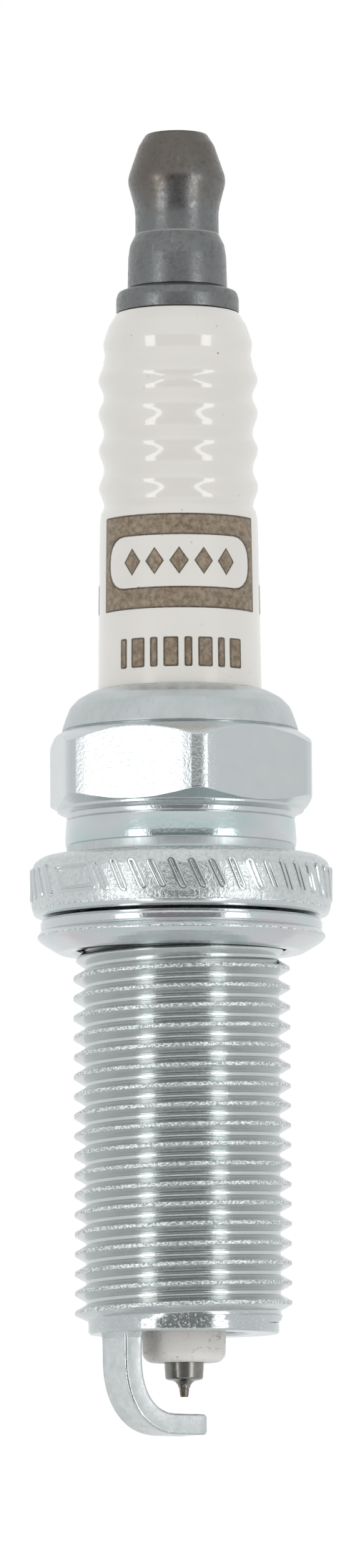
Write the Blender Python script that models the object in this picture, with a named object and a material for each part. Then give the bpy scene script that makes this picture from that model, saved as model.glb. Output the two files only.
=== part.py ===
"""A long-reach spark plug: M14 x 1.25 thread, 5/8 inch hexagon, folded gasket and screw-on terminal nut.

The axis of the plug is Z and the terminal points up. Z = 0 is the sealing face under the loose
gasket, where the plug meets the cylinder head. Outlines are given as (radius, height) in
millimetres and turned round Z, and their heights are measured from the shell's datum plane, which
lies a little below the sealing face. Neighbouring pieces keep a small gap instead of touching.
"""

import math

import bmesh
import bpy
from mathutils import Matrix, Vector

MM = 0.001

# Driving dimensions, in millimetres and degrees. All but the first of these heights are measured
# from the datum plane.
DATUM_Z = -0.33
THREAD_RADIUS = 6.88
THREAD_PITCH = 1.25
THREAD_START_ANGLE = 96.0
THREAD_START_Z = -22.73
THREAD_ROOT_RADIUS = 6.17
REACH = 26.5
SEAT_Z = 2.6
SHELL_END_Z = SEAT_Z - REACH
HEX_ACROSS_FLATS = 15.875
HEX_CORNER_RADIUS = 8.89
TERMINAL_TOP_Z = 53.0
NOSE_END_Z = -25.7
TIP_END_Z = -27.87
SPARK_GAP = 1.13
ELECTRODE_ANGLE = 177.1

# Shared fits between neighbouring pieces.
GAP = 0.05
INSULATOR_BORE_RADIUS = 1.95
NOSE_BORE_RADIUS = 1.27
SHELL_BORE_RADIUS = 6.1
INSULATOR_TOP_Z = 41.35
FILL_RADIUS = INSULATOR_BORE_RADIUS - 0.03
PACKING_INNER_RADIUS = 5.28
PACKING_OUTER_RADIUS = SHELL_BORE_RADIUS - GAP

# Facets round a piece. The threads step round with the same facets as the piece that carries them.
SEGMENTS = 30
TERMINAL_SEGMENTS = 24
FINE_SEGMENTS = 20


# Helpers


def clear_scene():
    for obj in list(bpy.data.objects):
        bpy.data.objects.remove(obj, do_unlink=True)


def material(name, colour, roughness, metallic):
    made = bpy.data.materials.new(name)
    made.use_nodes = True
    shader = made.node_tree.nodes["Principled BSDF"]
    shader.inputs["Base Color"].default_value = (*colour, 1.0)
    shader.inputs["Roughness"].default_value = roughness
    shader.inputs["Metallic"].default_value = metallic
    return made


def object_from(name, mesh_data, look):
    """A linked, smoothly shaded object made from a bmesh, with its own origin in the datum plane."""
    bmesh.ops.recalc_face_normals(mesh_data, faces=mesh_data.faces)
    mesh = bpy.data.meshes.new(name)
    mesh_data.to_mesh(mesh)
    mesh_data.free()
    mesh.materials.append(look)
    mesh.shade_smooth()
    mesh.set_sharp_from_angle(angle=math.radians(35))
    obj = bpy.data.objects.new(name, mesh)
    obj.location.z = DATUM_Z * MM
    bpy.context.scene.collection.objects.link(obj)
    return obj


def arc(centre, radii, start, end, steps):
    """Points on an elliptical arc round centre, in degrees, with 0 outwards and 90 up."""
    points = []
    for step in range(steps + 1):
        angle = math.radians(start + (end - start) * step / steps)
        points.append(
            (
                centre[0] + radii[0] * math.cos(angle),
                centre[1] + radii[1] * math.sin(angle),
            )
        )
    return points


def turned(name, outline, look, segments=SEGMENTS):
    """Turns an outline of (radius, height) round Z. An outline that starts on the axis also ends there."""
    mesh_data = bmesh.new()
    verts = [mesh_data.verts.new((r * MM, 0, z * MM)) for r, z in outline]
    edges = [mesh_data.edges.new(pair) for pair in zip(verts, verts[1:])]
    on_axis = outline[0][0] == 0 and outline[-1][0] == 0
    if not on_axis:
        edges.append(mesh_data.edges.new((verts[-1], verts[0])))
    bmesh.ops.spin(
        mesh_data,
        geom=verts + edges,
        axis=(0, 0, 1),
        cent=(0, 0, 0),
        angle=math.tau,
        steps=segments,
        use_merge=True,
    )
    bmesh.ops.remove_doubles(mesh_data, verts=mesh_data.verts, dist=1e-7)
    return object_from(name, mesh_data, look)


def helix_ridge(name, section, height_at, start_z, pitch, turns, start_angle, steps, look):
    """A right-hand screw ridge that climbs from start_z. Each section point is (share of the ridge's
    height, offset along Z in mm); height_at(turn) gives the inner and the outer radius."""
    mesh_data = bmesh.new()
    rings = []
    count = round(turns * steps)
    for step in range(count + 1):
        turn = step / steps
        angle = math.radians(start_angle) + math.tau * turn
        low, high = height_at(turn)
        ring = []
        for share, along in section:
            radius = (low + (high - low) * share) * MM
            z = (start_z + pitch * turn + along) * MM
            ring.append(
                mesh_data.verts.new((radius * math.cos(angle), radius * math.sin(angle), z))
            )
        rings.append(ring)
    for first, second in zip(rings, rings[1:]):
        for i in range(len(section)):
            j = (i + 1) % len(section)
            mesh_data.faces.new((first[i], first[j], second[j], second[i]))
    mesh_data.faces.new(rings[0])
    mesh_data.faces.new(rings[-1])
    return object_from(name, mesh_data, look)


def helper(obj):
    """Marks an object as a tool for a Boolean, which isn't itself a part."""
    obj.hide_render = True
    obj.display_type = "WIRE"
    return obj


def boolean(obj, operation, other):
    modifier = obj.modifiers.new(f"{operation.lower()} {other.name}", "BOOLEAN")
    modifier.operation = operation
    modifier.solver = "EXACT"
    modifier.object = helper(other)
    return obj


def faded(turn, turns, fade_in, fade_out):
    """1 in the middle of a thread, falling to 0 over its first and last turns."""
    return max(0.0, min(1.0, turn / fade_in, (turns - turn) / fade_out))


# Steel shell


HEX_TOP_Z = 14.5
HEX_BOTTOM_Z = 8.8
NECK_RADIUS = 7.36
FLANGE_RADIUS = 9.57
RELIEF_RADIUS = 6.2
PILOT_RADIUS = 6.04
END_BORE_RADIUS = 4.15
LEDGE_RADIUS = 3.9
LEDGE_TOP = (4.6, -9.7)
LEDGE_EDGE = (LEDGE_RADIUS, -10.3)


def shell_outline():
    crimp_outside = arc((5.28, 14.85), (2.12, 2.25), 90, 0, 6)
    crimp_inside = arc((5.28, 15.3), (0.82, 0.95), 0, 90, 3)
    flange = [
        (NECK_RADIUS - 0.1, 6.5),
        (8.5, 6.38),
        *arc((8.87, 5.68), (0.7, 0.65), 70, 0, 3),
        *arc((8.97, 3.3), (0.6, 0.65), 0, -80, 3),
        (8.9, SEAT_Z),
    ]
    lower = [
        (RELIEF_RADIUS, SEAT_Z),
        (RELIEF_RADIUS, -0.1),
        (THREAD_ROOT_RADIUS, -0.2),
        (THREAD_ROOT_RADIUS, -22.75),
        (PILOT_RADIUS, -22.9),
        (PILOT_RADIUS, SHELL_END_Z + 0.2),
        (PILOT_RADIUS - 0.2, SHELL_END_Z),
    ]
    bore = [
        (END_BORE_RADIUS, SHELL_END_Z),
        (END_BORE_RADIUS, -11.6),
        (LEDGE_RADIUS, -11.35),
        LEDGE_EDGE,
        LEDGE_TOP,
        (LEDGE_TOP[0], 2.0),
        (SHELL_BORE_RADIUS, 3.6),
    ]
    upper = [
        (7.46, HEX_TOP_Z + 0.12),
        (7.46, HEX_TOP_Z - 0.1),
        (NECK_RADIUS - 0.2, HEX_TOP_Z - 0.3),
        (NECK_RADIUS - 0.15, HEX_BOTTOM_Z + 0.12),
        (NECK_RADIUS - 0.07, HEX_BOTTOM_Z),
        (NECK_RADIUS, 7.7),
        (NECK_RADIUS, 7.2),
        (NECK_RADIUS - 0.1, 7.1),
    ]
    return crimp_outside + upper + flange + lower + bore + crimp_inside


def shell_hexagon(look):
    """The chamfered hexagon: a turned ring with coned ends, cut to six flats."""
    ring = turned(
        "hexagon",
        [
            (6.6, HEX_TOP_Z - 0.25),
            (7.45, HEX_TOP_Z - 0.08),
            (7.95, HEX_TOP_Z - 0.35),
            (8.45, HEX_TOP_Z - 0.7),
            (HEX_CORNER_RADIUS, HEX_TOP_Z - 1.1),
            (HEX_CORNER_RADIUS, HEX_BOTTOM_Z + 1.25),
            (7.6, HEX_BOTTOM_Z + 0.42),
            (6.6, HEX_BOTTOM_Z + 0.2),
        ],
        look,
        segments=60,
    )
    prism = bmesh.new()
    bmesh.ops.create_cone(
        prism,
        cap_ends=True,
        segments=6,
        radius1=HEX_ACROSS_FLATS / math.sqrt(3) * MM,
        radius2=HEX_ACROSS_FLATS / math.sqrt(3) * MM,
        depth=10 * MM,
        matrix=Matrix.Translation((0, 0, (HEX_TOP_Z + HEX_BOTTOM_Z) / 2 * MM))
        @ Matrix.Rotation(math.radians(30), 4, "Z"),
    )
    return boolean(ring, "INTERSECT", object_from("hexagon_prism", prism, look))


def shell_thread(look):
    """The M14 ridge, which runs out at both ends. Its first crest is a little above the pilot."""
    turns = 18.15
    base_radius = 6.05
    crest_height = THREAD_RADIUS - base_radius

    def height_at(turn):
        share = faded(turn, turns, 1.1, 0.55)
        return base_radius, base_radius + crest_height * (0.1 + 0.9 * share)

    return helix_ridge(
        "shell_thread",
        [(0, -0.57), (1, -0.1), (1, 0.1), (0, 0.57)],
        height_at,
        THREAD_START_Z,
        THREAD_PITCH,
        turns,
        THREAD_START_ANGLE,
        SEGMENTS,
        look,
    )


def make_shell(look):
    shell = turned("shell", shell_outline(), look)
    boolean(shell, "UNION", shell_hexagon(look))
    boolean(shell, "UNION", shell_thread(look))
    return shell


# Ceramic insulator


RIB_COUNT = 4
RIB_PITCH = 2.37
RIB_TOP_Z = 37.13
RIB_RADIUS = 4.93
RIB_DEPTH = 0.16


def rib_points():
    """The ribs as one wave, from the trough above the first crest to the one below the last."""
    per_rib = 5
    points = []
    for step in range(RIB_COUNT * per_rib + 1):
        phase = step / per_rib
        radius = RIB_RADIUS - RIB_DEPTH * math.cos(math.tau * phase)
        points.append((radius, RIB_TOP_Z + RIB_PITCH * (0.5 - phase)))
    return points


def seat_line(radius, lift):
    """A point on the shell's inner ledge at a radius, raised by lift."""
    slope = (LEDGE_TOP[1] - LEDGE_EDGE[1]) / (LEDGE_TOP[0] - LEDGE_EDGE[0])
    return radius, LEDGE_EDGE[1] + slope * (radius - LEDGE_EDGE[0]) + lift


def make_insulator(look):
    barrel_radius = 5.22
    shoulder_radius = 6.03
    body_radius = 4.53
    head = [
        (INSULATOR_BORE_RADIUS, INSULATOR_TOP_Z),
        (3.9, INSULATOR_TOP_Z),
        (4.15, 41.05),
        (4.5, 40.5),
        (4.72, 39.95),
        (4.8, 39.45),
        (4.72, 38.8),
    ]
    barrel = [
        (4.92, 28.35),
        (5.06, 27.2),
        (5.12, 24.4),
        (barrel_radius, 17.9),
        (barrel_radius, 11.4),
        (shoulder_radius, 10.75),
        (shoulder_radius, 3.75),
        (body_radius, 2.15),
    ]
    nose = [
        seat_line(body_radius, 0.45),
        seat_line(3.5, 0.45),
        (3.45, -10.5),
        (2.66, -24.4),
        *arc((1.36, NOSE_END_Z + 1.3), (1.3, 1.3), -25, -90, 3),
    ]
    bore = [
        (NOSE_BORE_RADIUS, NOSE_END_Z),
        (NOSE_BORE_RADIUS, -5.6),
        (INSULATOR_BORE_RADIUS, -4.9),
    ]
    return turned("insulator", head + rib_points() + barrel + nose + bore, look)


# Terminal


COLLAR_RADIUS = 3.95
COLLAR_BOTTOM_Z = INSULATOR_TOP_Z + GAP
COLLAR_TOP_Z = 42.95
NUT_BORE_RADIUS = 2.06
STUD_ROOT_RADIUS = 1.53
STUD_THREAD_RADIUS = 1.95
STUD_PITCH = 0.7
STUD_END_Z = 11.3


def make_terminal_nut(look):
    top_radius = 1.99
    outside = [
        (0, TERMINAL_TOP_Z),
        (top_radius, TERMINAL_TOP_Z),
        (2.25, 52.75),
        (2.44, 52.25),
        (3.07, 50.4),
        (3.12, 50.05),
        (3.08, 49.7),
        (2.78, 48.65),
        (2.69, 48.0),
        (2.69, 46.85),
        *arc((2.55, 45.3), (0.6, 1.35), 65, 0, 4),
        (3.2, 43.3),
        (3.2, COLLAR_TOP_Z + GAP),
    ]
    bore = [
        (NUT_BORE_RADIUS + 0.2, COLLAR_TOP_Z + GAP),
        (NUT_BORE_RADIUS, COLLAR_TOP_Z + GAP + 0.25),
        (NUT_BORE_RADIUS, 51.3),
        (0, 51.6),
    ]
    return turned("terminal_nut", outside + bore, look, TERMINAL_SEGMENTS)


def make_terminal_stud(look):
    shank_radius = 1.45
    outline = [
        (0, 51.0),
        (STUD_ROOT_RADIUS - 0.3, 51.0),
        (STUD_ROOT_RADIUS, 50.7),
        (STUD_ROOT_RADIUS, COLLAR_TOP_Z),
        (3.3, COLLAR_TOP_Z),
        *arc((3.3, 42.3), (0.65, 0.65), 75, 0, 4),
        (COLLAR_RADIUS, COLLAR_BOTTOM_Z),
        (1.85, COLLAR_BOTTOM_Z),
        (1.85, 38.5),
        (shank_radius, 37.8),
        (shank_radius, STUD_END_Z + 0.3),
        (shank_radius - 0.3, STUD_END_Z),
        (0, STUD_END_Z),
    ]
    stud = turned("terminal_stud", outline, look, FINE_SEGMENTS)
    turns = 10.0
    base_radius = 1.45
    crest_height = STUD_THREAD_RADIUS - base_radius

    def height_at(turn):
        share = faded(turn, turns, 0.5, 0.7)
        return base_radius, base_radius + crest_height * (0.1 + 0.9 * share)

    thread = helix_ridge(
        "stud_thread",
        [(0, -0.31), (1, -0.05), (1, 0.05), (0, 0.31)],
        height_at,
        COLLAR_TOP_Z + 0.5,
        STUD_PITCH,
        turns,
        0.0,
        FINE_SEGMENTS,
        look,
    )
    return boolean(stud, "UNION", thread)


# Conductive filling of the insulator's bore


RESISTOR_BOTTOM_Z = -0.25
RESISTOR_TOP_Z = 9.75
HEAD_TOP_Z = -3.2
HEAD_SHOULDER_Z = -4.3


def make_upper_glass_seal(look):
    """A cup of copper glass round the end of the stud."""
    hole_radius = 1.45 + GAP
    return turned(
        "upper_glass_seal",
        [
            (0, STUD_END_Z - GAP),
            (hole_radius, STUD_END_Z - GAP),
            (hole_radius, 14.4),
            (FILL_RADIUS, 14.2),
            (FILL_RADIUS, RESISTOR_TOP_Z + GAP),
            (0, RESISTOR_TOP_Z + GAP),
        ],
        look,
        FINE_SEGMENTS,
    )


def make_resistor(look):
    return turned(
        "resistor",
        [
            (0, RESISTOR_TOP_Z),
            (FILL_RADIUS, RESISTOR_TOP_Z),
            (FILL_RADIUS, RESISTOR_BOTTOM_Z),
            (0, RESISTOR_BOTTOM_Z),
        ],
        look,
        FINE_SEGMENTS,
    )


def make_lower_glass_seal(look):
    """A cap of copper glass over the centre electrode's crown."""
    hole_radius = CROWN_RADIUS + GAP
    return turned(
        "lower_glass_seal",
        [
            (0, RESISTOR_BOTTOM_Z - GAP),
            (FILL_RADIUS, RESISTOR_BOTTOM_Z - GAP),
            (FILL_RADIUS, HEAD_SHOULDER_Z + GAP),
            (hole_radius, HEAD_SHOULDER_Z + GAP),
            (hole_radius, HEAD_TOP_Z + GAP),
            (0, HEAD_TOP_Z + GAP),
        ],
        look,
        FINE_SEGMENTS,
    )


# Electrodes


CROWN_RADIUS = 1.3
CENTRE_RADIUS = 1.22
CORE_RADIUS = 0.7
CORE_BOTTOM_Z = -23.5
TIP_RADIUS = 0.35
TIP_ROOT_RADIUS = 0.26
TIP_ROOT_Z = -26.75
TIP_BASE_Z = -27.3


def make_centre_electrode(look):
    """Nickel rod with a seat and crown at the top, a bore for the core and a socket for the tip."""
    outline = [
        (CORE_RADIUS, HEAD_TOP_Z),
        (CROWN_RADIUS, HEAD_TOP_Z),
        (CROWN_RADIUS, HEAD_SHOULDER_Z),
        (1.88, HEAD_SHOULDER_Z),
        (1.88, -4.87),
        (CENTRE_RADIUS, -5.53),
        (CENTRE_RADIUS, -25.9),
        *arc((1.07, -26.63), (0.12, 0.12), 0, -90, 2),
        *arc((0.95, TIP_BASE_Z), (0.95 - TIP_RADIUS, 0.52), 90, 180, 4),
        (TIP_ROOT_RADIUS + 0.03, TIP_BASE_Z),
        (TIP_ROOT_RADIUS + 0.03, TIP_ROOT_Z + 0.03),
        (0, TIP_ROOT_Z + 0.03),
    ]
    bottom = [(0, CORE_BOTTOM_Z), (CORE_RADIUS, CORE_BOTTOM_Z)]
    return turned("centre_electrode", bottom + outline, look, FINE_SEGMENTS)


def make_centre_electrode_core(look):
    radius = CORE_RADIUS - 0.03
    return turned(
        "centre_electrode_core",
        [
            (0, HEAD_TOP_Z),
            (radius, HEAD_TOP_Z),
            (radius, CORE_BOTTOM_Z + 0.03),
            (0, CORE_BOTTOM_Z + 0.03),
        ],
        look,
        FINE_SEGMENTS,
    )


def make_iridium_tip(look):
    return turned(
        "iridium_tip",
        [
            (0, TIP_ROOT_Z),
            (TIP_ROOT_RADIUS, TIP_ROOT_Z),
            (TIP_ROOT_RADIUS, TIP_BASE_Z - 0.03),
            (TIP_RADIUS - 0.01, TIP_BASE_Z - 0.03),
            (0.28, TIP_END_Z + 0.06),
            (0.25, TIP_END_Z),
            (0, TIP_END_Z),
        ],
        look,
        FINE_SEGMENTS,
    )


STRAP_WIDTH = 2.62
STRAP_THICKNESS = 1.3
STRAP_RADIUS = 4.77
STRAP_BEND_Z = -25.6
STRAP_BEND_END_RADIUS = 1.35
STRAP_OVERHANG = 0.6


def strap_centreline():
    """(distance from the axis, height, angle of the strap's run) down the leg, round the bend and across."""
    lowest = TIP_END_Z - SPARK_GAP - STRAP_THICKNESS / 2
    across = STRAP_RADIUS - STRAP_BEND_END_RADIUS
    down = STRAP_BEND_Z - lowest
    squareness = 2.25
    bend = []
    steps = 12
    for step in range(steps + 1):
        angle = math.pi / 2 * step / steps
        out = math.cos(angle) ** (2 / squareness)
        drop = math.sin(angle) ** (2 / squareness)
        bend.append((STRAP_BEND_END_RADIUS + across * out, STRAP_BEND_Z - down * drop))
    return [(STRAP_RADIUS, SHELL_END_Z - 0.03), *bend, (-STRAP_OVERHANG, lowest)]


def strap_section():
    """The strap's rounded rectangle, as (across its width, through its thickness)."""
    corner = 0.16
    half_width = STRAP_WIDTH / 2 - corner
    half_depth = STRAP_THICKNESS / 2 - corner
    points = []
    for sx, sy, start in ((1, 1, 0), (-1, 1, 90), (-1, -1, 180), (1, -1, 270)):
        points += arc(
            (sx * half_width, sy * half_depth), (corner, corner), start, start + 90, 2
        )
    return points


def make_ground_electrode(look):
    """A flat nickel strap swept down, round and under the tip."""
    line = strap_centreline()
    section = strap_section()
    mesh_data = bmesh.new()
    rings = []
    for i, (out, z) in enumerate(line):
        before = Vector(line[max(i - 1, 0)])
        after = Vector(line[min(i + 1, len(line) - 1)])
        run = (after - before).normalized()
        outward = Vector((-run.y, run.x))
        ring = []
        for across, depth in section:
            ring.append(
                mesh_data.verts.new(
                    (
                        (out + outward.x * depth) * MM,
                        across * MM,
                        (z + outward.y * depth) * MM,
                    )
                )
            )
        rings.append(ring)
    for first, second in zip(rings, rings[1:]):
        for i in range(len(section)):
            j = (i + 1) % len(section)
            mesh_data.faces.new((first[i], first[j], second[j], second[i]))
    mesh_data.faces.new(rings[0])
    mesh_data.faces.new(rings[-1])
    strap = object_from("ground_electrode", mesh_data, look)
    strap.rotation_euler.z = math.radians(ELECTRODE_ANGLE)
    return strap


# Gasket and inner packing


def make_gasket(look):
    """Folded sheet-steel ring: two flat layers on top, an inner wall, and a coned skirt below."""
    sheet = 0.33
    top = 2.5
    base = -DATUM_Z
    outline = [
        (6.95, top),
        *arc((8.6, top - 0.4), (0.35, 0.4), 90, -90, 6),
        (7.25, top - 0.8),
        (7.05, top - 1.0),
        (7.05, base + 0.5),
        (7.25, base + sheet),
        (7.85, base + sheet + 0.04),
        (9.02, base + 1.08),
        (9.17, base + 0.92),
        (8.95, base + 0.67),
        (7.95, base + 0.06),
        (7.8, base),
        (6.95, base),
        (6.72, base + 0.25),
        (6.72, top - 0.55),
        (6.9, top - sheet - 0.04),
        (8.55, top - sheet - 0.04),
        (8.55, top - sheet),
        (6.95, top - sheet),
    ]
    return turned("gasket", outline, look)


def make_packing_ring(name, centre_z, look):
    radius = 0.36
    middle = (PACKING_INNER_RADIUS + PACKING_OUTER_RADIUS) / 2
    outline = arc((middle, centre_z), (radius, radius), 0, 315, 7)
    return turned(name, outline, look)


def make_talc_packing(look):
    low, high = 12.25, 14.5
    return turned(
        "talc_packing",
        [
            (PACKING_INNER_RADIUS, high),
            (PACKING_OUTER_RADIUS, high),
            (PACKING_OUTER_RADIUS, low),
            (PACKING_INNER_RADIUS, low),
        ],
        look,
    )


def make_lower_packing_washer(look):
    return turned(
        "lower_packing_washer",
        [
            seat_line(3.95, 0.4),
            seat_line(4.48, 0.4),
            seat_line(4.53, 0.3),
            seat_line(4.53, 0.05),
            seat_line(3.95, 0.05),
        ],
        look,
    )


def main():
    clear_scene()
    zinc = material("zinc_plated_steel", (0.66, 0.69, 0.7), 0.3, 1.0)
    dark_nickel = material("dark_nickel_plate", (0.24, 0.23, 0.22), 0.38, 1.0)
    ceramic = material("glazed_alumina", (0.86, 0.85, 0.82), 0.12, 0.0)
    nickel = material("nickel_alloy", (0.3, 0.29, 0.27), 0.35, 1.0)
    strap_metal = material("plated_nickel_strap", (0.66, 0.69, 0.7), 0.32, 1.0)
    iridium = material("iridium", (0.42, 0.4, 0.36), 0.4, 1.0)
    copper = material("copper", (0.72, 0.36, 0.22), 0.35, 1.0)
    glass = material("copper_glass", (0.25, 0.13, 0.08), 0.5, 0.0)
    carbon = material("carbon_glass", (0.05, 0.05, 0.05), 0.7, 0.0)
    steel = material("bare_steel", (0.45, 0.45, 0.46), 0.4, 1.0)
    talc = material("talc", (0.8, 0.79, 0.75), 0.9, 0.0)

    make_shell(zinc)
    make_gasket(zinc)
    make_ground_electrode(strap_metal)
    make_insulator(ceramic)
    make_terminal_nut(dark_nickel)
    make_terminal_stud(dark_nickel)
    make_upper_glass_seal(glass)
    make_resistor(carbon)
    make_lower_glass_seal(glass)
    make_centre_electrode(nickel)
    make_centre_electrode_core(copper)
    make_iridium_tip(iridium)
    make_packing_ring("upper_packing_ring", 14.95, steel)
    make_talc_packing(talc)
    make_packing_ring("shoulder_packing_ring", 11.84, steel)
    make_lower_packing_washer(steel)


main()
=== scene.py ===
"""The finished look of the spark plug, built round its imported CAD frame.

The plug's axis is Z. Outlines are (radius, height) in millimetres, with the height measured from
the shell's datum plane, a little below the frame's own zero. Meshes are made in metres. Angles
round the axis are in degrees, counted from +X towards +Y.
"""

import math

import bmesh
import bpy
from mathutils import Matrix, Vector


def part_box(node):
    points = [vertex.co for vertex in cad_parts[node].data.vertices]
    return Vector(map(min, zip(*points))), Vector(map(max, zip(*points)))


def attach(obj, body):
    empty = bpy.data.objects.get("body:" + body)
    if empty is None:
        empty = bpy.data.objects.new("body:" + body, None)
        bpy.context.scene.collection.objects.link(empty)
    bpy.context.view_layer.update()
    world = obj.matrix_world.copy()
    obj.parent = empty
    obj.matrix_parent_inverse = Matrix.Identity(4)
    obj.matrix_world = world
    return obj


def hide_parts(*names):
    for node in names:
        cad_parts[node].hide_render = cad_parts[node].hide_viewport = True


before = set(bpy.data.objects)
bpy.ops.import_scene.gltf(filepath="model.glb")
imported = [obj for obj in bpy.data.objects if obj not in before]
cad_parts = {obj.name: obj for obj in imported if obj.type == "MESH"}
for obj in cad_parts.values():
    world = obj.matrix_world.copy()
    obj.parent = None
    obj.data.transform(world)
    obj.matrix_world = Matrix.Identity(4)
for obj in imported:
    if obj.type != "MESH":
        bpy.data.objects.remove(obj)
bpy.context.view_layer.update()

MM = 0.001
# The shell's datum plane, in millimetres from the frame's zero.
DATUM = -0.33
BODY = "plug_body"
CAP = "terminal_cap"
RING = "seat_gasket"

# Facets round a piece.
ROUND = 160
SMALL_ROUND = 96

# The camera's azimuth, counted from -Y, and the angle of the side that faces it.
VIEW_AZIMUTH = -38.0
FRONT = VIEW_AZIMUTH - 90.0


def top(node):
    """The node's highest point over the datum, in millimetres."""
    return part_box(node)[1].z / MM - DATUM


def bottom(node):
    """The node's lowest point over the datum, in millimetres."""
    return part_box(node)[0].z / MM - DATUM


def reach_out(node):
    """The node's greatest distance from the axis, in millimetres."""
    return max(abs(value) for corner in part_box(node) for value in corner.xy) / MM


NUT_TOP = top("terminal_nut")
NUT_BOTTOM = bottom("terminal_nut")
STUD_TOP = top("terminal_stud")
STUD_BOTTOM = bottom("terminal_stud")
CERAMIC_TOP = top("insulator")
NOSE_END = bottom("insulator")
SHELL_END = bottom("shell")
NICKEL_END = bottom("centre_electrode")
NICKEL_TOP = top("centre_electrode")
TIP_TOP = top("iridium_tip")
TIP_END = bottom("iridium_tip")
STRAP_BOTTOM = bottom("ground_electrode")
GASKET_TOP = top("gasket")
FLANGE_RADIUS = reach_out("shell")

# Shell sizes.
PITCH = 1.25
CREST_RADIUS = 6.89
ROOT_RADIUS = 6.17
PILOT_RADIUS = 6.04
RELIEF_RADIUS = 6.2
# A point that the thread's crest runs through.
CREST_ANGLE = 96.0
CREST_HEIGHT = -22.73
SEAT = 2.6
HEX_FLAT = 15.875 / 2
HEX_CORNER = 8.89
NECK = 7.36

# Edges that turn by more than this are shaded sharp.
SHARP = math.radians(32)


# Mesh helpers


# The four corners of a rectangle: signs of x and y, and the angle where the corner's arc starts.
QUARTERS = ((1, 1, 0), (-1, 1, 90), (-1, -1, 180), (1, -1, 270))


def arc(centre, radii, start, end, steps):
    """Points of an elliptic arc from one angle to another."""
    points = []
    for step in range(steps + 1):
        angle = math.radians(start + (end - start) * step / steps)
        across, up = radii[0] * math.cos(angle), radii[1] * math.sin(angle)
        points.append((centre[0] + across, centre[1] + up))
    return points


def filleted(corners, steps=5):
    """An outline with its corners rounded: (radius, height) or (radius, height, fillet) each."""
    points = []
    for i, corner in enumerate(corners):
        here = Vector(corner[:2])
        if len(corner) < 3 or i in (0, len(corners) - 1):
            points.append(tuple(here))
            continue
        back = Vector(corners[i - 1][:2]) - here
        on = Vector(corners[i + 1][:2]) - here
        half = back.angle(on) / 2
        tangent = min(corner[2] / math.tan(half), 0.48 * back.length, 0.48 * on.length)
        start = here + back.normalized() * tangent
        end = here + on.normalized() * tangent
        inwards = (back.normalized() + on.normalized()).normalized()
        centre = here + inwards * tangent / math.cos(half)
        sweep = (start - centre).angle_signed(end - centre)
        for step in range(steps + 1):
            turn = Matrix.Rotation(-sweep * step / steps, 2)
            points.append(tuple(centre + turn @ (start - centre)))
    return points


def new_object(name, mesh, *looks):
    """Links an object with these materials, raised to the datum."""
    for look in looks:
        mesh.materials.append(look)
    obj = bpy.data.objects.new(name, mesh)
    obj.location.z = DATUM * MM
    bpy.context.scene.collection.objects.link(obj)
    return obj


def finished(name, verts, faces, *looks):
    """A closed, smoothly shaded object from points in millimetres."""
    mesh = bpy.data.meshes.new(name)
    mesh.from_pydata([(x * MM, y * MM, z * MM) for x, y, z in verts], [], faces)
    made = bmesh.new()
    made.from_mesh(mesh)
    bmesh.ops.remove_doubles(made, verts=made.verts, dist=2e-7)
    bmesh.ops.recalc_face_normals(made, faces=made.faces)
    made.to_mesh(mesh)
    made.free()
    mesh.shade_smooth()
    mesh.set_sharp_from_angle(angle=SHARP)
    return new_object(name, mesh, *looks)


def lathe(outline, segments, closed):
    """Points and faces of an outline turned round Z. A point on the axis is a single point."""
    verts, faces, rings = [], [], []
    for radius, height in outline:
        start = len(verts)
        if radius <= 0:
            verts.append((0, 0, height))
            rings.append([start] * segments)
            continue
        for i in range(segments):
            angle = math.tau * i / segments
            verts.append((radius * math.cos(angle), radius * math.sin(angle), height))
        rings.append(list(range(start, start + segments)))
    pairs = list(zip(rings, rings[1:]))
    if closed:
        pairs.append((rings[-1], rings[0]))
    for low, high in pairs:
        for i in range(segments):
            j = (i + 1) % segments
            face = list(dict.fromkeys((low[i], low[j], high[j], high[i])))
            if len(face) > 2:
                faces.append(face)
    return verts, faces


def turned(name, outline, *looks, segments=ROUND):
    """An outline turned round the axis. It is a loop unless both its ends lie on the axis."""
    on_axis = outline[0][0] <= 0 and outline[-1][0] <= 0
    return finished(name, *lathe(outline, segments, not on_axis), *looks)


def helical_wall(rows, pitch, low, high, radius_at, segments):
    """A screw surface between two flat ends. A row is (share of the pitch, level of the ridge)."""
    per_turn = len(rows)
    count = per_turn * (math.ceil((high - low) / pitch) + 2)
    verts, faces = [], []
    for column in range(segments):
        angle = math.tau * column / segments
        for row in range(count):
            turn, step = divmod(row, per_turn)
            share, level = rows[step]
            z = low + pitch * (turn - 1 + column / segments + share)
            z = min(max(z, low), high)
            radius = radius_at(level, z)
            verts.append((radius * math.cos(angle), radius * math.sin(angle), z))
    for column in range(segments):
        wraps = column == segments - 1
        for row in range(count - 1):
            first = column * count + row
            if wraps:
                others = min(row + per_turn, count - 1), min(row + per_turn + 1, count - 1)
                faces.append((first, others[0], others[1], first + 1))
            else:
                faces.append((first, first + count, first + count + 1, first + 1))
    return verts, faces


def joined(*parts):
    """Several (points, faces) lists as one."""
    verts, faces = [], []
    for more_verts, more_faces in parts:
        offset = len(verts)
        verts += more_verts
        faces += [[index + offset for index in face] for face in more_faces]
    return verts, faces


def smooth_step(value, low, high):
    """0 up to low and 1 from high on, with an even swing between."""
    share = min(max((value - low) / (high - low), 0.0), 1.0)
    return share * share * (3 - 2 * share)


def grid_faces(rows, size, closed):
    """Quads between looped rows of points. If closed, the last row meets the first."""
    faces = []
    for i in range(rows if closed else rows - 1):
        m = (i + 1) % rows
        for j in range(size):
            k = (j + 1) % size
            faces.append((i * size + j, i * size + k, m * size + k, m * size + j))
    return faces


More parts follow.
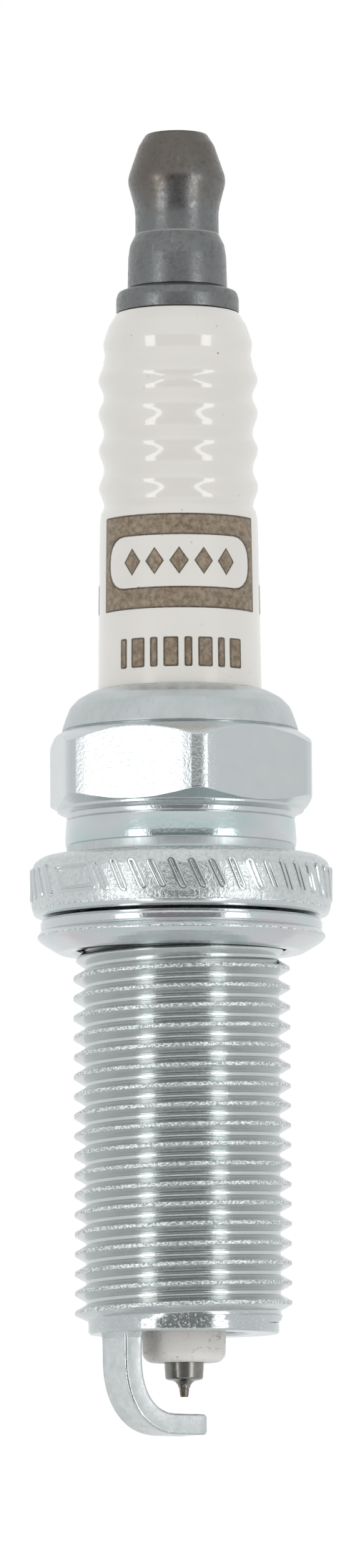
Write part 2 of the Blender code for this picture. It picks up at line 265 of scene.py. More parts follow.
def swept(sections):
    """A closed skin over a row of equal sections, each a list of points."""
    size = len(sections[0])
    verts = [point for section in sections for point in section]
    faces = grid_faces(len(sections), size, False)
    faces.append(tuple(range(size)))
    faces.append(tuple(range(len(verts) - size, len(verts))))
    return verts, faces


def on_wall(radius, angle, height):
    """The point at this angle and height on a round wall."""
    turn = math.radians(angle)
    return Vector((radius * math.cos(turn), radius * math.sin(turn), height))


def raised_loop(outline, wall_radius, wire):
    """A closed bead that follows an outline of (angle, height) on a round wall."""
    points = [on_wall(wall_radius, *point) for point in outline]
    verts = []
    sides = 10
    flatness = 0.8
    for i, point in enumerate(points):
        along = (points[(i + 1) % len(points)] - points[i - 1]).normalized()
        out = Vector((point.x, point.y, 0)).normalized()
        side = along.cross(out)
        for j in range(sides):
            turn = math.tau * j / sides
            way = math.cos(turn) * out * flatness + math.sin(turn) * side
            verts.append(tuple(point + wire * way))
    return verts, grid_faces(len(points), sides, True)


# Material helpers


class Graph:
    """Short calls for the nodes of a shader tree."""

    def __init__(self, tree):
        self.tree = tree

    def feed(self, socket, value):
        """Links another node's output to the socket, or sets its number or colour."""
        if isinstance(value, bpy.types.NodeSocket):
            self.tree.links.new(value, socket)
        elif isinstance(value, tuple):
            socket.default_value = (*value, 1)
        else:
            socket.default_value = value

    def node(self, kind, **inputs):
        """A node with these inputs, whose names have _ for a space."""
        made = self.tree.nodes.new("ShaderNode" + kind)
        for name, value in inputs.items():
            self.feed(made.inputs[name.replace("_", " ")], value)
        return made

    def math(self, operation, *values):
        made = self.node("Math")
        made.operation = operation
        for socket, value in zip(made.inputs, values):
            self.feed(socket, value)
        return made.outputs[0]

    def remap(self, value, from_low, from_high, to_low, to_high, smooth=False):
        """The value's range (from_low, from_high) moved to (to_low, to_high), and clamped there."""
        made = self.node("MapRange", Value=value)
        made.interpolation_type = "SMOOTHSTEP" if smooth else "LINEAR"
        for socket, number in zip(made.inputs[1:5], (from_low, from_high, to_low, to_high)):
            socket.default_value = number
        return made.outputs["Result"]

    def ramp(self, value, *stops):
        """A colour ramp of (position, colour) stops."""
        made = self.node("ValToRGB", Fac=value)
        elements = made.color_ramp.elements
        while len(elements) < len(stops):
            elements.new(0.5)
        for element, (position, colour) in zip(elements, stops):
            element.position = position
            element.color = (*colour, 1)
        return made.outputs["Color"]

    def mix(self, factor, first, second):
        """A blend of two colours."""
        made = self.node("Mix")
        made.data_type = "RGBA"
        sockets = (made.inputs[0], made.inputs[6], made.inputs[7])
        for socket, value in zip(sockets, (factor, first, second)):
            self.feed(socket, value)
        return made.outputs[2]


class Look(Graph):
    """A Principled material whose textures are laid out in the piece's own millimetres."""

    def __init__(self, name, colour, roughness, metallic, **sockets):
        self.material = bpy.data.materials.new(name)
        self.material.use_nodes = True
        super().__init__(self.material.node_tree)
        self.shader = self.tree.nodes["Principled BSDF"]
        sockets = {"Base_Color": colour, "Roughness": roughness, "Metallic": metallic, **sockets}
        for socket, value in sockets.items():
            self.feed(self.shader.inputs[socket.replace("_", " ")], value)
        self.place = self.node("TexCoord").outputs["Object"]

    def stretched(self, x, y, z):
        """Coordinates scaled by these factors, so that a factor under 1 draws a texture out."""
        made = self.node("Mapping", Vector=self.place)
        made.inputs["Scale"].default_value = (x, y, z)
        return made.outputs["Vector"]

    def noise(self, size, detail=3.0, roughness=0.55, place=None, distortion=0.0):
        """Noise whose blobs are about size millimetres across."""
        made = self.node(
            "TexNoise",
            Vector=place or self.place,
            Scale=1 / (size * MM),
            Detail=detail,
            Roughness=roughness,
            Distortion=distortion,
        )
        return made.outputs["Fac"]

    def spots(self, spacing):
        """The distance to the nearest of some scattered points, in units of the spacing."""
        made = self.node("TexVoronoi", Vector=self.place, Scale=1 / (spacing * MM))
        return made.outputs["Distance"]

    def height(self, low, high):
        """0 at one height and 1 at the other, in millimetres."""
        parts = self.node("SeparateXYZ", Vector=self.place)
        return self.remap(parts.outputs["Z"], low * MM, high * MM, 0, 1)

    def colour(self, value):
        self.feed(self.shader.inputs["Base Color"], value)

    def rough(self, value, low, high):
        """Roughness from low to high over the usual range of a noise."""
        self.feed(self.shader.inputs["Roughness"], self.remap(value, 0.3, 0.7, low, high))

    def bump(self, value, depth):
        """Relief of a depth in millimetres."""
        made = self.node("Bump", Strength=1.0, Distance=depth * MM, Height=value)
        self.feed(self.shader.inputs["Normal"], made.outputs["Normal"])


# Materials


ZINC = (0.66, 0.69, 0.695)
ZINC_TEAL = (0.6, 0.69, 0.695)
ZINC_PINK = (0.72, 0.665, 0.7)


def zinc(name, low_rough, high_rough, grain, depth, tint=0.35, base=ZINC):
    """Bright zinc plate: blue-white metal with a faint film of teal and pink."""
    look = Look(name, base, low_rough, 1.0)
    film = look.noise(3.2, 2, place=look.stretched(1, 1, 1.8), distortion=0.6)
    colour = look.ramp(film, (0.34, ZINC_TEAL), (0.5, base), (0.66, ZINC_PINK))
    patches = look.noise(0.9, 3)
    colour = look.mix(tint, base, colour)
    look.colour(look.mix(look.remap(patches, 0.3, 0.75, 0.0, 0.16), colour, (0.53, 0.56, 0.565)))
    look.rough(look.noise(0.35, 3), low_rough, high_rough)
    look.bump(look.noise(grain, 4, 0.6), depth)
    return look.material


def banded_zinc():
    """The turned neck, where the film is strongest."""
    look = Look("zinc_turned_neck", ZINC, 0.14, 1.0)
    film = look.noise(7.5, 1, place=look.stretched(1, 1, 2.0))
    pink, teal, grey = (0.68, 0.64, 0.7), (0.55, 0.65, 0.65), (0.58, 0.65, 0.66)
    look.colour(look.ramp(film, (0.34, pink), (0.46, ZINC), (0.56, teal), (0.7, grey)))
    look.rough(look.noise(0.5, 3), 0.1, 0.18)
    look.bump(look.noise(0.22, 4, 0.6), 0.012)
    return look.material


def crest_zinc():
    """Torn, sparkling metal on the rolled thread's crests and on sharp rims."""
    look = Look("zinc_rolled_crest", ZINC, 0.25, 1.0)
    flecks = look.noise(0.17, 3, 0.65, place=look.stretched(1, 1, 1.8))
    dark, bright = (0.36, 0.39, 0.395), (0.95, 0.96, 0.95)
    look.colour(look.ramp(flecks, (0.38, dark), (0.5, ZINC), (0.6, bright)))
    look.rough(flecks, 0.1, 0.2)
    look.bump(flecks, 0.06)
    return look.material


def torn_zinc():
    """Bright metal with scattered white flecks: the shell's end and the strap's sheared edges."""
    look = Look("zinc_torn_edge", ZINC, 0.12, 1.0)
    torn = look.remap(look.noise(0.18, 4, 0.7), 0.56, 0.64, 0, 1)
    look.colour(look.mix(torn, (0.6, 0.63, 0.635), (0.95, 0.96, 0.95)))
    look.rough(look.noise(0.2, 3), 0.1, 0.2)
    look.bump(torn, 0.02)
    return look.material


def crimped_zinc():
    """The crimped rim: a dull roll with fine upright scratches."""
    look = Look("zinc_crimped_rim", (0.6, 0.635, 0.635), 0.36, 1.0)
    patches = look.noise(1.2, 4, 0.6)
    colour = look.ramp(patches, (0.35, (0.575, 0.61, 0.61)), (0.65, (0.63, 0.665, 0.665)))
    scratches = look.noise(0.35, 3, 0.6, place=look.stretched(1.6, 1.6, 0.15))
    look.colour(look.mix(look.remap(scratches, 0.6, 0.74, 0, 0.35), colour, (0.36, 0.38, 0.38)))
    look.rough(look.noise(0.3, 3), 0.3, 0.42)
    look.bump(scratches, 0.008)
    return look.material


def stamped_zinc():
    """The flange's rim, beaten and stamped."""
    look = Look("zinc_stamped_rim", ZINC, 0.2, 1.0)
    dents = look.noise(0.24, 4, 0.6)
    look.colour(look.ramp(dents, (0.3, (0.6, 0.63, 0.635)), (0.6, (0.71, 0.74, 0.735))))
    look.rough(look.noise(0.2, 3), 0.13, 0.24)
    look.bump(dents, 0.055)
    return look.material


def dark_nickel():
    """Dark nickel plate, brown towards the tip and grey below, with scuffs and a lighter ring
    painted round the crease above its base.
    """
    look = Look("dark_nickel_plate", (0.22, 0.22, 0.21), 0.3, 1.0)
    uneven = look.remap(look.noise(2.4, 3), 0.3, 0.7, -0.35, 0.35)
    brown = look.math("ADD", look.height(46.5, 51.5), uneven)
    colour = look.ramp(brown, (0.2, (0.215, 0.22, 0.222)), (0.85, (0.17, 0.152, 0.135)))
    scratches = look.noise(0.26, 4, 0.6, place=look.stretched(1.4, 1.4, 0.1))
    colour = look.mix(look.remap(scratches, 0.64, 0.76, 0, 0.6), colour, (0.4, 0.38, 0.36))
    blots = look.noise(0.3, 5, 0.7)
    colour = look.mix(look.remap(blots, 0.5, 0.72, 0, 0.55), colour, (0.1, 0.093, 0.088))
    # A lighter grey ring is painted round the crease where the waist meets the base, 46.36 to 46.52
    # mm up.
    worn_patch_and_crease_ring = look.math("MULTIPLY", look.height(46.36, 46.42), look.height(46.52, 46.46))
    colour = look.mix(worn_patch_and_crease_ring, colour, (0.34, 0.335, 0.33))
    rim = look.height(NUT_TOP - 0.14, NUT_TOP - 0.05)
    look.colour(look.mix(rim, colour, (0.05, 0.045, 0.04)))
    look.rough(look.noise(0.3, 4), 0.2, 0.4)
    look.bump(look.noise(0.14, 4, 0.65), 0.012)
    return look.material


def glaze():
    """Warm white glazed alumina with dark specks."""
    coat = {"Coat_Weight": 1.0, "Coat_IOR": 1.7, "Coat_Roughness": 0.03}
    look = Look("glazed_alumina", (0.83, 0.79, 0.745), 0.35, 0.0, IOR=1.4, **coat)
    tone = look.ramp(look.noise(6.0, 2), (0.3, (0.8, 0.76, 0.712)), (0.7, (0.83, 0.788, 0.74)))
    faint = look.remap(look.spots(1.3), 0.035, 0.07, 0.5, 0.0)
    tone = look.mix(faint, tone, (0.4, 0.36, 0.33))
    specks = look.remap(look.spots(2.9), 0.022, 0.034, 0.75, 0.0)
    look.colour(look.mix(specks, tone, (0.2, 0.17, 0.15)))
    look.bump(look.noise(1.4, 2), 0.006)
    return look.material


def bare_alumina():
    """The unglazed nose: matt, slightly pink, with scratched grey stains."""
    look = Look("bare_alumina", (0.72, 0.66, 0.62), 0.55, 0.0, IOR=1.4)
    tone = look.ramp(look.noise(2.5, 3), (0.3, (0.83, 0.785, 0.75)), (0.7, (0.89, 0.85, 0.82)))
    stains = look.noise(0.9, 6, 0.72, distortion=2.0)
    look.colour(look.mix(look.remap(stains, 0.57, 0.63, 0.0, 0.75), tone, (0.3, 0.25, 0.23)))
    look.rough(stains, 0.5, 0.65)
    look.bump(look.noise(0.25, 3), 0.006)
    return look.material


def ink(name, dark, light, grain):
    """Fired golden-brown ink, mottled where it is thin."""
    look = Look(name, dark, 0.35, 0.0)
    mottle = look.noise(grain, 4, 0.65)
    look.colour(look.ramp(mottle, (0.36, dark), (0.64, light)))
    look.rough(look.noise(0.3, 2), 0.28, 0.5)
    look.bump(mottle, 0.006)
    return look.material


def plain_metal(name, colour, rough, worn_patch_and_crease_ring):
    """Turned or drawn metal with a fine grain and slightly worn patches."""
    look = Look(name, colour, rough, 1.0)
    patches = look.noise(0.5, 4, 0.6)
    look.colour(look.ramp(patches, (0.35, colour), (0.7, worn_patch_and_crease_ring)))
    look.rough(look.noise(0.4, 3), rough * 0.9, rough * 1.15)
    look.bump(look.noise(0.3, 3), 0.002)
    return look.material


def strap_metal():
    """The plated strap's faces: grey with a fine grain."""
    look = Look("plated_strap", (0.58, 0.61, 0.615), 0.34, 1.0)
    patches = look.noise(0.6, 4, 0.6)
    look.colour(look.ramp(patches, (0.35, (0.63, 0.655, 0.655)), (0.65, (0.74, 0.765, 0.765))))
    look.rough(look.noise(0.25, 3), 0.28, 0.42)
    look.bump(look.noise(0.12, 4, 0.65), 0.012)
    return look.material


def powder(name, dark, light):
    """A dull fused or pressed grain."""
    look = Look(name, light, 0.85, 0.0)
    look.colour(look.ramp(look.noise(0.3, 4, 0.7), (0.35, dark), (0.65, light)))
    look.bump(look.noise(0.2, 3), 0.03)
    return look.material


# The steel shell


THREAD_DEPTH = CREST_RADIUS - ROOT_RADIUS


def thread_rows(pitch, half_crest, half_root, depth, crest_round, root_round):
    """One turn of a 60 degree ridge, from crest to crest, as (share of the pitch, level)."""
    run = depth * math.tan(math.radians(30))
    foot = pitch / 2 - half_root
    slope = (foot - half_crest - run) / 2
    near, far = half_crest + slope, foot - slope
    step = 0.06 * depth
    lean = (far - near) / depth
    corners = [
        (0, depth), (near, depth, crest_round),
        (near + 1.5 * step * lean, depth - 1.5 * step),
        (far - 2.5 * step * lean, 2.5 * step), (far, 0, root_round), (pitch / 2, 0),
    ]
    half = filleted(corners, 4)
    rows = [(x / pitch, level / depth) for x, level in half]
    return rows + [(1 - share, level) for share, level in reversed(rows[1:-1])]


def shell_thread():
    """The threaded wall between the pilot and the relief under the flange, and its two ends."""
    low, high = -23.3, 0.75

    def radius_at(level, z):
        """The thread fades into the pilot below and into the relief above."""
        base = PILOT_RADIUS + (ROOT_RADIUS - PILOT_RADIUS) * smooth_step(z, low, low + 0.6)
        base += (RELIEF_RADIUS - ROOT_RADIUS) * smooth_step(z, 0.2, high)
        grown = smooth_step(z, low + 0.15, low + 0.6) * (1 - smooth_step(z, -0.9, 1.5))
        return base + THREAD_DEPTH * level * grown

    # The first row lies on a crest at angle 0 once the wall is shifted by this part of a pitch.
    crest = CREST_HEIGHT - PITCH * CREST_ANGLE / 360
    shift = ((crest - low) / PITCH) % 1
    rows = thread_rows(PITCH, 0.1, 0.1, THREAD_DEPTH, 0.06, 0.17)
    shifted = [(share + shift, level) for share, level in rows]
    return helical_wall(shifted, PITCH, low, high, radius_at, ROUND), low, high


def shell_profile(low, high):
    """From the top of the thread up over the outside, down the bore and back to the thread."""
    flange = [
        (RELIEF_RADIUS, high), (RELIEF_RADIUS, SEAT, 0.12), (9.0, SEAT, 0.05),
        (9.36, 2.72, 0.2), (9.45, 2.98), (9.475, 3.06), (FLANGE_RADIUS - 0.02, 3.4, 0.5),
        (FLANGE_RADIUS - 0.02, 5.3, 0.6), (9.36, 6.03, 0.45), (8.9, 6.36, 0.4),
        (NECK - 0.02, 6.46, 0.08), (NECK - 0.08, 6.6, 0.04),
    ]
    neck = [
        (NECK - 0.08, 7.08, 0.04), (NECK - 0.02, 7.16, 0.06), (NECK, 7.3, 0.3),
        (NECK, 7.6, 1.2), (NECK - 0.07, 8.68, 0.1), (NECK - 0.15, 8.8, 0.03),
        (NECK - 0.15, 9.3),
    ]
    rim = [
        (7.1, 9.4), (7.1, 13.9), (7.4, 14.3), (7.45, 14.46, 0.03), (7.53, 14.52, 0.04),
        (7.5, 14.66, 0.1), (7.31, 15.25, 0.9), (7.04, 15.95, 0.8), (6.52, 16.5, 0.9),
        (5.76, 16.92, 0.9), (5.34, 17.08, 0.08), (5.27, 16.98, 0.05),
    ]
    bore = [
        (5.27, 16.25, 0.1), (6.08, 15.4, 0.3), (6.08, 3.6), (4.6, 2.0), (4.6, -9.7),
        (3.9, -10.3), (3.9, -11.35), (4.15, -11.6), (4.15, SHELL_END + 0.12, 0.1),
        (4.27, SHELL_END, 0.1), (PILOT_RADIUS - 0.1, SHELL_END, 0.05),
        (PILOT_RADIUS, SHELL_END + 0.12, 0.08), (PILOT_RADIUS, low),
    ]
    return filleted(flange + neck + rim + bore, 4)


def zone_materials(obj, zones):
    """Gives each face the material of the first zone that its middle lies in.

    A zone is (material's place, (lowest height, highest height, least radius)).
    """
    for face in obj.data.polygons:
        middle = face.center / MM
        radius = middle.xy.length
        for slot_index, (low, high, least) in zones:
            if low < middle.z < high and radius > least:
                face.material_index = slot_index
                break


# Places of the shell's materials, after the plain plate at 0.
TURNED, STAMPED, CREST, CRIMPED, FLANK, TORN = range(1, 7)
SHELL_ZONES = (
    (CREST, (2.98, 3.06, 9.3)),
    (STAMPED, (3.06, 6.7, 7.5)),
    (CRIMPED, (6.45, 7.1, 7.1)),
    (TURNED, (7.1, 9.0, 7.1)),
    (TORN, (SHELL_END - 0.1, -22.7, 5.7)),
    (CREST, (-23.2, 0.0, CREST_RADIUS - 0.05)),
    (FLANK, (-22.6, 2.5, 6.0)),
    (CREST, (16.95, 17.3, 5.2)),
    (CRIMPED, (14.4, 17.3, 5.2)),
)


def make_shell(*looks):
    thread, low, high = shell_thread()
    rest = lathe(shell_profile(low, high), ROUND, False)
    shell = finished("shell_body", *joined(rest, thread), *looks)
    zone_materials(shell, SHELL_ZONES)
    return shell


# A flat falls away from HEX_CROWN_START off its middle by HEX_CROWN times the square.
HEX_CROWN_START = 2.9
HEX_CROWN = 0.055
# The rounding of the upright edges.
HEX_EDGE = 0.9
# Inner radii of the coned ends.
TOP_EDGE = 7.72
LOW_EDGE = 7.86
TOP_CONE = ((TOP_EDGE, 14.3), (7.95, 14.14), (8.4, 13.84), (HEX_CORNER, 13.4))
LOW_CONE = ((LOW_EDGE, 9.47), (HEX_CORNER, 10.05))


def flat_height(along):
    """A flat's distance from the axis, this far from its middle."""
    return HEX_FLAT - HEX_CROWN * max(along - HEX_CROWN_START, 0) ** 2


def hexagon_loop():
    """The hexagon's outline, with slightly crowned flats, turned corners and rounded edges."""
    end = math.sqrt(HEX_CORNER**2 - HEX_FLAT**2)
    alongs = (0, 1.4, HEX_CROWN_START, 3.15, 3.3, 3.4)
    half = [(flat_height(along), along) for along in alongs]
    corner = [on_wall(HEX_CORNER, 30 - turn, 0).xy for turn in (0.6, 0)]
    edge = filleted([half[-1], (flat_height(end), end, HEX_EDGE), tuple(corner[0])], 8)
    half += edge[1:-1] + [tuple(point) for point in corner]
    side = [(x, -y) for x, y in reversed(half[1:])] + half[:-1]
    loop = []
    for i in range(6):
        turn = Matrix.Rotation(math.radians(30 + 60 * i), 2)
        loop += [turn @ Vector(point) for point in side]
    return loop


def between(points, radius):
    """The height of a cone's outline at a radius, from its (radius, height) points."""
    for (r1, z1), (r2, z2) in zip(points, points[1:]):
        if radius <= r2:
            return z1 + (z2 - z1) * (radius - r1) / (r2 - r1)
    return points[-1][1]


def hexagon_column(radius):
    """The hexagon's section at this radius: in along both coned ends and down behind the flat."""
    shares = (0.35, 0.7, 0.9)
    top_at, low_at = between(TOP_CONE, radius), between(LOW_CONE, radius)
    upper = [TOP_EDGE + (radius - TOP_EDGE) * share for share in shares]
    lower = [LOW_EDGE + (radius - LOW_EDGE) * share for share in reversed(shares)]
    corners = [
        (6.9, 14.1), (7.3, 14.35), (7.5, 14.42, 0.05), (TOP_EDGE, 14.3, 0.2),
        *[(r, between(TOP_CONE, r)) for r in upper],
        (radius, top_at, 0.07), (radius, top_at - 0.12), (radius, low_at + 0.12),
        (radius, low_at, 0.07),
        *[(r, between(LOW_CONE, r)) for r in lower],
        (LOW_EDGE, 9.47, 0.12), (LOW_EDGE, 9.32, 0.04), (7.6, 9.2, 0.1), (7.3, 9.1, 0.06),
        (7.28, 8.9), (7.26, 8.84), (6.9, 8.84),
    ]
    return filleted(corners, 4)


def make_hexagon(look):
    """The hexagon: a ring of columns, one at each point of its outline."""
    verts = []
    loop = hexagon_loop()
    for point in loop:
        way = point.normalized()
        column = hexagon_column(point.length)
        verts += [(way.x * r, way.y * r, z) for r, z in column]
    faces = grid_faces(len(loop), len(column), True)
    return finished("shell_hexagon", verts, faces, look)


MARK_COUNT = 47
MARK_SPACING = 360 / MARK_COUNT
MARK_START = FRONT - 1.5
MARK_HEIGHT = 4.6
# How far a mark's top leans over, in millimetres.
MARK_LEAN = 0.83
MARK_BEAD = 0.14
# The places of the two boxes, counted in marks from MARK_START.
BOX_SLOTS = (-6, 17)


def leaning(points, angle, slope):
    """A mark's (across, up) points on the rim as (angle, height), leaning by this slope."""
    turns = [math.degrees((x - slope * z) / FLANGE_RADIUS) for x, z in points]
    return [(angle + turn, MARK_HEIGHT + z) for turn, (x, z) in zip(turns, points)]


def stadium(angle, length, width):
    """A long rounded mark."""
    middle = (length - width) / 2
    round_end = (width / 2, width / 2)
    points = arc((0, middle), round_end, 0, 180, 6) + arc((0, -middle), round_end, 180, 360, 6)
    return leaning(points, angle, MARK_LEAN / length)


def leaning_box(angle, width, height):
    """A box-shaped mark with the same lean."""
    x, z = width / 2, height / 2
    corners = [(x, -z), (x, z), (-x, z), (-x, -z), (x, -z)]
    points = []
    steps = 9
    for (x1, z1), (x2, z2) in zip(corners, corners[1:]):
        for step in range(steps):
            share = step / steps
            points.append((x1 + (x2 - x1) * share, z1 + (z2 - z1) * share))
    return leaning(points, angle, 0.75 * MARK_LEAN / height)


def make_rim_marks(look):
    """Generic stamped strokes round the flange. Twice a plain box takes the place of three."""
    parts = []
    wall = FLANGE_RADIUS - 0.05
    first = min(BOX_SLOTS) - 1
    for slot in range(first, first + MARK_COUNT):
        angle = MARK_START + MARK_SPACING * slot
        if slot in BOX_SLOTS:
            for width, height, wire in ((3.0, 1.6, 0.13), (2.5, 1.1, 0.08)):
                parts.append(raised_loop(leaning_box(angle + 2, width, height), wall, wire))
        elif min(abs(slot - box) for box in BOX_SLOTS) > 1:
            length = 1.95 - 0.1 * (slot % 3)
            parts.append(raised_loop(stadium(angle, length, 0.36), wall, MARK_BEAD))
    return finished("rim_marks", *joined(*parts), look)


# Ceramic


RIB_RADIUS = 4.93
RIB_DEPTH = 0.165
# The heights of the troughs and the crests between them, from the top.
RIB_LEVELS = (38.23, 37.07, 35.99, 34.95, 33.59, 32.59, 31.3, 30.15, 28.88)


def rib_points():
    """The ribs' outline, with a cosine between each trough and crest."""
    steps = 7
    points = []
    for i, (start, end) in enumerate(zip(RIB_LEVELS, RIB_LEVELS[1:])):
        for step in range(steps):
            wave = math.cos(math.pi * (i + step / steps))
            # The troughs are a little narrower than the crests.
            wave = wave + 0.12 * (1 - wave * wave)
            points.append((RIB_RADIUS - RIB_DEPTH * wave, start + (end - start) * step / steps))
    return points + [(RIB_RADIUS - RIB_DEPTH, RIB_LEVELS[-1])]


def barrel_radius(height):
    """The plain barrel below the ribs, which widens slightly towards the shell."""
    share = (27.2 - height) / (27.2 - 17.0)
    return 5.06 + 0.155 * share


def make_insulator(glazed, bare):
    corners = [
        (1.95, CERAMIC_TOP), (3.92, CERAMIC_TOP, 0.12), (4.42, 40.55, 1.2),
        (4.79, 39.45, 0.9), (4.66, 38.62, 0.9), (4.765, 38.24),
    ]
    head = filleted(corners, 7)[:-1]
    barrel = [
        *arc((4.84, 27.35), (0.22, 1.3), 85, 0, 6),
        (barrel_radius(24.0), 24.0),
        (barrel_radius(20.0), 20.0),
        (5.215, 17.0), (5.22, 11.4), (6.0, 10.75), (6.0, 3.75), (4.5, 2.15), (4.5, -9.3),
    ]
    corners = [(3.45, -10.3), (3.4, -10.6), (2.655, -24.2), (2.62, NOSE_END, 1.35), (1.27, NOSE_END)]
    nose = filleted(corners, 9)
    bore = [(1.27, -5.6), (1.95, -4.9)]
    ceramic = turned("ceramic", head + rib_points() + barrel + nose + bore, glazed, bare)
    zone_materials(ceramic, ((1, (NOSE_END - 1, -9.0, 0)),))
    return ceramic


# The printed band on the ceramic


# How far the dark ink, and the brown ink over it, stand out from the ceramic.
INK_LIFT = 0.012
FILL_LIFT = INK_LIFT + 0.008
OUTLINE_WIDTH = 0.11
PRINT_RADIUS = 5.12
FRAME_AT = (0, 24.87)
FRAME_SIZE = (11.7, 6.05)
WINDOW_SIZE = (10.5, 3.3)
BAR_HEIGHT = 19.05
SIDE_HEIGHT = 22.9


def patch(outline, lift, holes=()):
    """A thin closed slip over the ceramic, from outlines of (millimetres round, height)."""
    filled = bmesh.new()
    for loop in (outline, *holes):
        verts = [filled.verts.new((x, z, 0)) for x, z in loop]
        for first, second in zip(verts, verts[1:] + verts[:1]):
            filled.edges.new((first, second))
    bmesh.ops.triangle_fill(filled, edges=filled.edges, use_beauty=True)
    for _ in range(5):
        long_edges = [edge for edge in filled.edges if edge.calc_length() > 0.5]
        if not long_edges:
            break
        bmesh.ops.subdivide_edges(filled, edges=long_edges, cuts=1)
    bmesh.ops.triangulate(filled, faces=filled.faces)
    filled.verts.index_update()
    top_side = [(vert.co.x, vert.co.y) for vert in filled.verts]
    faces = [[vert.index for vert in face.verts] for face in filled.faces]
    rims = [[vert.index for vert in edge.verts] for edge in filled.edges if edge.is_boundary]
    filled.free()
    count = len(top_side)
    verts = []
    for sink in (lift, -0.03):
        for x, z in top_side:
            radius = barrel_radius(z) + sink
            verts.append(tuple(on_wall(radius, FRONT + math.degrees(x / PRINT_RADIUS), z)))
    under = [[index + count for index in reversed(face)] for face in faces]
    sides = [(a, b, b + count, a + count) for a, b in rims]
    return verts, faces + under + sides


def rounded_rectangle(centre, size, corner, steps=5):
    """Points of a rounded rectangle on the flat."""
    points = []
    for sx, sy, start in QUARTERS:
        at = (centre[0] + sx * (size[0] / 2 - corner), centre[1] + sy * (size[1] / 2 - corner))
        points += arc(at, (corner, corner), start, start + 90, steps)
    return points


def lozenge(centre, size):
    x, z = centre
    half_x, half_z = size[0] / 2, size[1] / 2
    return [(x + half_x, z), (x, z + half_z), (x - half_x, z), (x, z - half_z)]


def drawn(shape, centre, size, *more):
    """The same shape twice: whole for the dark outline, and smaller for the brown fill."""
    inner = tuple(value - 2 * OUTLINE_WIDTH for value in size)
    return shape(centre, size, *more), shape(centre, inner, *more)


def print_marks():
    """(outline, fill) pairs: plain lozenges in the window, bars below and bars at both sides."""
    pairs = []
    for i in range(5):
        pairs.append(drawn(lozenge, (-3.2 + 1.6 * i, FRAME_AT[1]), (1.25, 1.75)))
    for i in range(8):
        width = 0.95 if i % 2 else 0.5
        pairs.append(drawn(rounded_rectangle, (-3.85 + 1.1 * i, BAR_HEIGHT), (width, 1.9), 0.12))
    for side in (-1, 1):
        for i in range(3):
            middle = (side * (8.1 + 1.5 * i), SIDE_HEIGHT)
            pairs.append(drawn(rounded_rectangle, middle, (0.95, 1.9), 0.1))
    return pairs


def framed(grow, corner, window_corner, lift):
    """The frame with its window. It grows inwards and outwards by a positive amount."""
    outer = [value + grow for value in FRAME_SIZE]
    window = [value - grow for value in WINDOW_SIZE]
    hole = rounded_rectangle(FRAME_AT, window, window_corner)
    return patch(rounded_rectangle(FRAME_AT, outer, corner), lift, [hole])


def make_print(dark, brown):
    """Dark slips a little larger than the brown ones over them, so each mark has an outline."""
    dark_parts = [framed(0, 0.12, 1.4, INK_LIFT)]
    brown_parts = [framed(-2 * OUTLINE_WIDTH, 0.06, 1.45, FILL_LIFT)]
    for outline, fill in print_marks():
        dark_parts.append(patch(outline, INK_LIFT))
        brown_parts.append(patch(fill, FILL_LIFT))
    outlines = finished("print_outlines", *joined(*dark_parts), dark)
    fills = finished("print_fills", *joined(*brown_parts), brown)
    return outlines, fills


# Terminal


def make_nut(look):
    corners = [
        (0, NUT_TOP), (1.95, NUT_TOP, 0.3), (2.42, NUT_TOP - 0.75, 0.9), (3.18, 50.02, 1.5),
        (2.66, 48.1, 4.0), (2.68, 46.5, 0.05), (2.72, 46.4, 0.1), (3.02, 45.8, 0.9),
        (3.14, 45.0, 1.5), (3.19, NUT_BOTTOM + 0.02, 0.05),
        (3.15, NUT_BOTTOM - 0.045, 0.03), (2.26, NUT_BOTTOM - 0.045),
        (2.06, NUT_BOTTOM + 0.25), (2.06, 51.3), (0, 51.6),
    ]
    outside = filleted(corners, 7)
    return turned("connector_nut", outside, look, segments=SMALL_ROUND)


STUD_PITCH = 0.7
STUD_CREST = 1.94
STUD_ROOT = 1.55


def make_stud(look):
    """The collar and the plain shank, with the fine thread that the nut screws on."""
    low, high = CERAMIC_TOP + 1.75, STUD_TOP - 0.25
    rows = thread_rows(STUD_PITCH, 0.05, 0.06, STUD_CREST - STUD_ROOT, 0.03, 0.05)

    def radius_at(level, z):
        """The thread fades out at both ends."""
        grown = smooth_step(z, low, low + 0.3) * (1 - smooth_step(z, high - 0.4, high))
        return STUD_ROOT + (STUD_CREST - STUD_ROOT) * level * grown

    thread = helical_wall(rows, STUD_PITCH, low, high, radius_at, SMALL_ROUND)
    collar_base = CERAMIC_TOP + 0.05
    corners = [
        (STUD_ROOT, low), (STUD_ROOT, collar_base + 1.52, 0.05),
        (3.28, collar_base + 1.53, 0.15), (3.8, collar_base + 1.33, 0.3),
        (3.93, collar_base + 0.9, 0.5), (3.93, collar_base + 0.06, 0.05),
        (3.88, collar_base, 0.04), (1.85, collar_base), (1.85, 38.5), (1.45, 37.8),
        (1.45, STUD_BOTTOM + 0.3), (1.15, STUD_BOTTOM), (0, STUD_BOTTOM),
    ]
    lower = filleted(corners, 5)
    upper = [(0, STUD_TOP), (STUD_ROOT - 0.3, STUD_TOP), (STUD_ROOT, high)]
    ends = [lathe(outline, SMALL_ROUND, False) for outline in (upper, lower)]
    return finished("terminal_stud_body", *joined(ends[0], thread, ends[1]), look)


# Gasket


